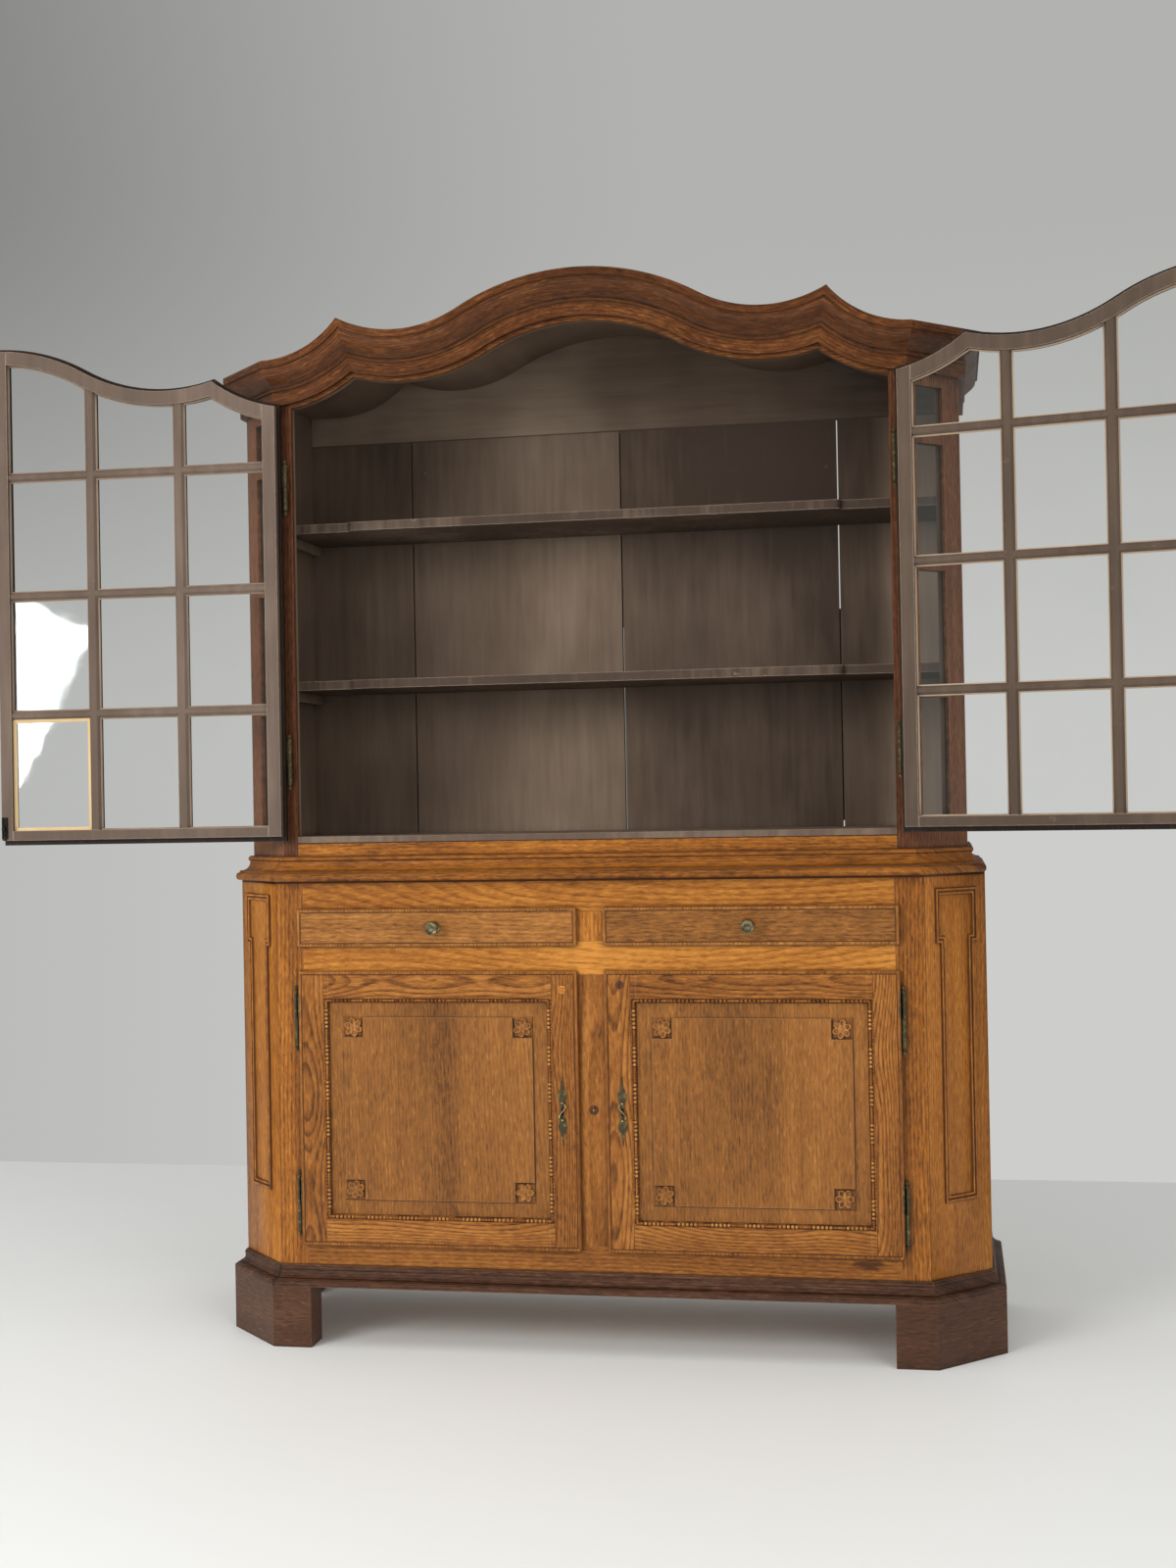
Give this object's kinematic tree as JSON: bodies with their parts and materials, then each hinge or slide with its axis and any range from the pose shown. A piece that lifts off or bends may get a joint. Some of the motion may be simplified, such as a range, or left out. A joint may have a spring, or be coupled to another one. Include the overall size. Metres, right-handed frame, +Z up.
{
  "type": "display cabinet",
  "caption": "Two-stage oak display cabinet with canted corners, a serpentine cornice, arched glazed doors over drawers and panelled cupboard doors, on block feet.",
  "frame": {"origin": "on the floor under the middle of the object with its glazed doors open", "axes": "+X to the right, +Y to the back, +Z up; the front faces -Y"},
  "size_m": [2.4333, 0.632, 2.1409],
  "materials": {
    "oak": "waxed golden oak, satin",
    "oak_panel": "waxed brown oak, satin",
    "red_oak_stain": "red-brown stained oak, satin",
    "dark_oak": "dark stained oak, dull",
    "inner_paint": "taupe paint on oak, worn",
    "plain_board": "unfinished board",
    "glass": "clear old sheet glass",
    "brass": "aged brass"
  },
  "bodies": {
    "case": {"arched_rail": "red_oak_stain", "base_back": "plain_board", "base_bottom_rail": "oak", "base_cant_left": "oak", "base_cant_right": "oak", "base_floor": "plain_board", "base_mid_rail": "oak", "base_shelf": "plain_board", "base_side_left": "oak", "base_side_right": "oak", "base_stile_left": "oak", "base_stile_right": "oak", "base_top": "oak", "base_top_rail": "oak", "cant_frame_left": "red_oak_stain", "cant_frame_right": "red_oak_stain", "cant_glass": "glass", "cant_mouldings": "oak", "cornice_front": "red_oak_stain", "cornice_returns": "red_oak_stain", "display_shelf_lower": "inner_paint", "display_shelf_upper": "inner_paint", "door_mullion": "oak", "drawer_divider": "oak", "dust_board": "plain_board", "feet": "dark_oak", "hinge_pins_lower": "brass", "hinge_pins_upper": "brass", "plinth_moulding": "dark_oak", "post_left": "red_oak_stain", "post_right": "red_oak_stain", "roof": "plain_board", "shelf_bearers": "inner_paint", "sill_rail": "oak", "upper_back": "inner_paint", "upper_floor": "inner_paint", "upper_side_left": "red_oak_stain", "upper_side_right": "red_oak_stain", "waist_moulding": "oak"},
    "glazed_door_left": {"glazed_frame_left": "inner_paint", "glazed_glass_left": "glass", "glazed_hinges_left": "brass"},
    "glazed_door_right": {"glazed_frame_right": "inner_paint", "glazed_glass_right": "glass", "glazed_hinges_right": "brass"},
    "panel_door_left": {"panel_frame_left": "oak", "panel_left": "oak_panel", "escutcheon_left": "brass", "panel_hinges_left": "brass"},
    "panel_door_right": {"panel_frame_right": "oak", "panel_right": "oak_panel", "escutcheon_right": "brass", "panel_hinges_right": "brass"},
    "drawer_left": {"drawer_front_left": "oak_panel", "drawer_box_left": "plain_board", "drawer_knob_left": "brass"},
    "drawer_right": {"drawer_front_right": "oak_panel", "drawer_box_right": "plain_board", "drawer_knob_right": "brass"}
  },
  "joints": [
    {"name": "glazed_left_hinge", "type": "hinge", "parent": "case", "child": "glazed_door_left", "pos_m": [-0.612, -0.173, 1.463], "axis": [0, 0, -1], "range_deg": [-178, 2]},
    {"name": "glazed_right_hinge", "type": "hinge", "parent": "case", "child": "glazed_door_right", "pos_m": [0.612, -0.173, 1.463], "axis": [0, 0, 1], "range_deg": [-169, 11]},
    {"name": "panel_left_hinge", "type": "hinge", "parent": "case", "child": "panel_door_left", "pos_m": [-0.609, -0.167, 0.477], "axis": [0, 0, -1], "range_deg": [0, 165]},
    {"name": "panel_right_hinge", "type": "hinge", "parent": "case", "child": "panel_door_right", "pos_m": [0.609, -0.167, 0.477], "axis": [0, 0, 1], "range_deg": [0, 165]},
    {"name": "drawer_left_slide", "type": "slide", "parent": "case", "child": "drawer_left", "axis": [0, -1, 0], "range_m": [0, 0.3]},
    {"name": "drawer_right_slide", "type": "slide", "parent": "case", "child": "drawer_right", "axis": [0, -1, 0], "range_m": [0, 0.3]}
  ]
}
